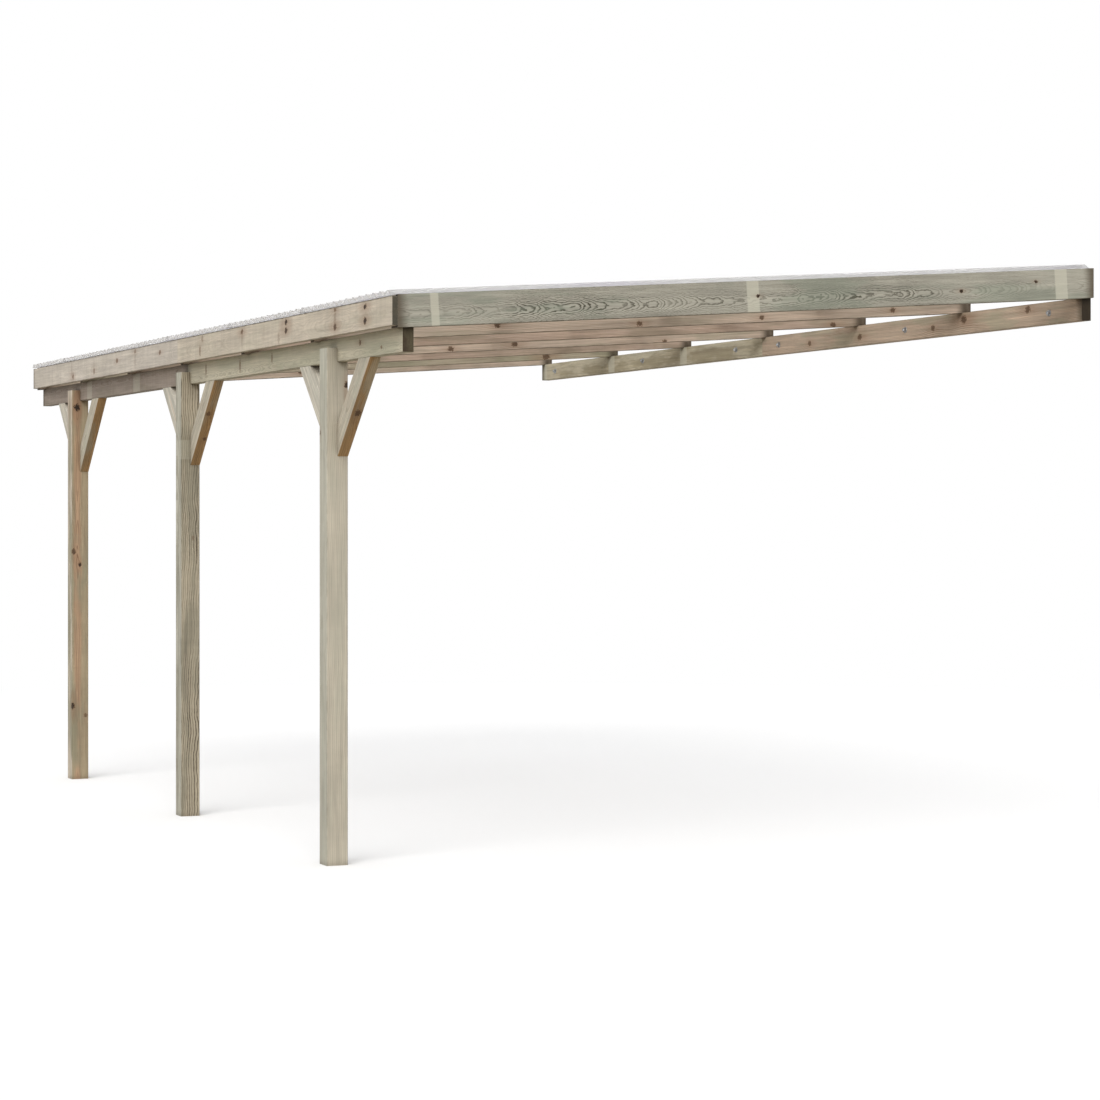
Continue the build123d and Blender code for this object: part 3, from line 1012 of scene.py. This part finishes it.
for row in range(1, 6):
    mesh = bmesh.new()
    low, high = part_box(f"batten_{row}")
    x = min((low.x + high.x) / 2, -SCREW_TO_WALL)
    count = 0
    for sheet in range(LAST_SHEET):
        for wave in (0, 3, 6, 10):
            turn = sheet * SHEET_STEP + wave + 0.5
            if not 1.0 <= turn <= ROOF_WAVES:
                continue
            lap = LAP_LIFT if wave == 0 and sheet else 0.0

            def over_crest(u, v, h, turn=turn, lap=lap):
                crest = wave_height(turn + v / WAVE_WIDE, False) + lap + SHEET_THICK
                return on_roof(x + u, roof_front + turn * WAVE_WIDE + v, crest + h)

            turned(mesh, SCREW_OUTLINE, over_crest)
            count += 1
    add_piece(f"roof_screws_{row}", mesh, caps, smooth=True)
print("screwed the sheets down with", count, "screws a batten")

# %% [markdown]
# ## Wall bolts
#
# Six wall bolts with wide washers hold the plate. Each is a few pixels in the picture,
# but close views reach them.
# Over the washer comes a hexagon whose top corners are turned off at thirty degrees,
# which leaves the curved edges that catch the light. So each point of its rim
# is lowered by how far it stands outside the turned circle.
# The threaded end of the bolt stands a few millimetres out of it.

# %% Draw a bolt in place of each plain one
FLATS = 8.5  # millimetres from the axis to a flat
TURNED = 8.1  # radius of the turned circle
WASHER_TOP = 2.0
NUT_TOP = 10.4
STUD_END = 15.0
PLATE_FACE = -0.045  # metres from the wall
WASHER_OUTLINE = ((0.0, WASHER_TOP), (13.2, WASHER_TOP), (13.8, 1.7), (14.0, 1.2), (14.0, 0.2),
                  (13.8, 0.0))
SHANK_OUTLINE = ((0.0, -0.2), (5.0, -0.2), (5.0, -45.0))


def hexagon(angle):
    """Radius of a hexagon at an angle, in millimetres."""
    return FLATS / math.cos((angle + math.pi / 6) % (math.pi / 3) - math.pi / 6)


def wall_bolt(mesh, centre, sides=48):
    def place(u, v, h):
        return Vector((centre.x - h, centre.y + u, centre.z + v))

    turned(mesh, WASHER_OUTLINE, place, 40)
    turned(mesh, SHANK_OUTLINE, place, 24)
    thread = [(4.9 if turn % 2 else 4.3, STUD_END - 1.0 - 0.75 * turn) for turn in range(8)]
    stud = ((0.0, STUD_END), (3.9, STUD_END), *thread, (4.3, NUT_TOP - 2.0))
    turned(mesh, stud, place, 24)
    rims = [[], [], [], []]
    for side in range(sides):
        angle = 2.0 * math.pi * side / sides
        wide = hexagon(angle)
        shoulder = NUT_TOP - (wide - TURNED) * math.tan(math.radians(30.0))
        outline = ((wide, WASHER_TOP), (wide, shoulder), (TURNED, NUT_TOP), (5.0, NUT_TOP - 0.4))
        for rim, (radius, high) in zip(rims, outline):
            rim.append(mesh.verts.new(place(*around_axis(radius, angle), high / 1000)))
    for inner, outer in zip(rims, rims[1:]):
        for side in range(sides):
            after = (side + 1) % sides
            mesh.faces.new((inner[side], inner[after], outer[after], outer[side]))
    mesh.faces.new(rims[-1])
    mesh.faces.new(rims[0][::-1])


for number in range(1, 7):
    low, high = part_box(f"wall_bolt_{number}")
    mesh = bmesh.new()
    wall_bolt(mesh, Vector((PLATE_FACE, (low.y + high.y) / 2, 0.0)))
    bolt = add_piece(f"hexagon_bolt_{number}", mesh, zinc, smooth=False)
    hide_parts(f"wall_bolt_{number}")
print("drew", number, "wall bolts")

# %% [markdown]
# ## Timber screws
#
# Countersunk screws hold the battens to the rafters, the braces to the posts and the beam
# to the tongues. None shows in the photograph, so they sit where a fitter drives them
# out of sight: on the battens' tops and on the inner sides of the braces and tongues.
# A dark spot in the wood's finish would be cheaper, but the mesh wouldn't have it,
# so each head is a shallow dish with a rim, barely proud of the wood.

# %% Drive the timber screws
HEAD_OUTLINE = ((0.0, 0.10), (1.3, 0.12), (1.9, 0.45), (3.7, 0.45), (4.0, 0.25), (4.1, 0.0))
INWARD = Vector((1.0, 0.0, 0.0))  # towards the wall


def screw_head(mesh, centre, outward):
    outward = outward.normalized()
    aside = outward.orthogonal().normalized()
    upward = outward.cross(aside)
    turned(mesh, HEAD_OUTLINE, lambda u, v, h: centre + aside * u + upward * v + outward * h, 12)


batten_screws = bmesh.new()
brace_screws = bmesh.new()
for row in range(1, 6):
    low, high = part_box(f"batten_{row}")
    for rafter in range(1, 8):
        near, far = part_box(f"rafter_{rafter}")
        x, y = (low.x + high.x) / 2, (near.y + far.y) / 2
        for off in (0.008, -0.008):
            screw_head(batten_screws, on_roof(x + off, y - off, 0.0), OFF_SLOPE)
for place in POSTS:
    for side, toward in (("forward", -1.0), ("rearward", 1.0)):
        low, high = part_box(f"brace_{place}_{side}")
        face = high.y if toward < 0 else low.y
        for off, up in ((0.035, 0.075), (0.055, 0.125)):
            foot = Vector((high.x, face + toward * off, low.z + up))
            head = Vector((high.x, face + toward * (0.38 - up), high.z - off + 0.005))
            screw_head(brace_screws, foot, INWARD)
            screw_head(brace_screws, head, INWARD)
    low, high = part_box("post_" + place)
    for off in (-0.022, 0.022):
        spot = Vector((high.x, (low.y + high.y) / 2 + off, high.z - 0.028 + off / 2))
        screw_head(brace_screws, spot, INWARD)
add_piece("batten_screws", batten_screws, zinc, smooth=True)
add_piece("brace_screws", brace_screws, zinc, smooth=True)
print("drove the timber screws")

# %% [markdown]
# ## The size at the end
#
# The finished carport should fill the same box as the imported one: a bevel or a screw
# that grew past it would change the real size. So the box is measured again, and its growth
# printed.

# %% Print how much the box grew
visual_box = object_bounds()
grown = [max(abs(v) for v in new - old) for new, old in zip(visual_box, packed_box)]
print("the box grew by", round(max(grown) * 1000, 3), "mm")
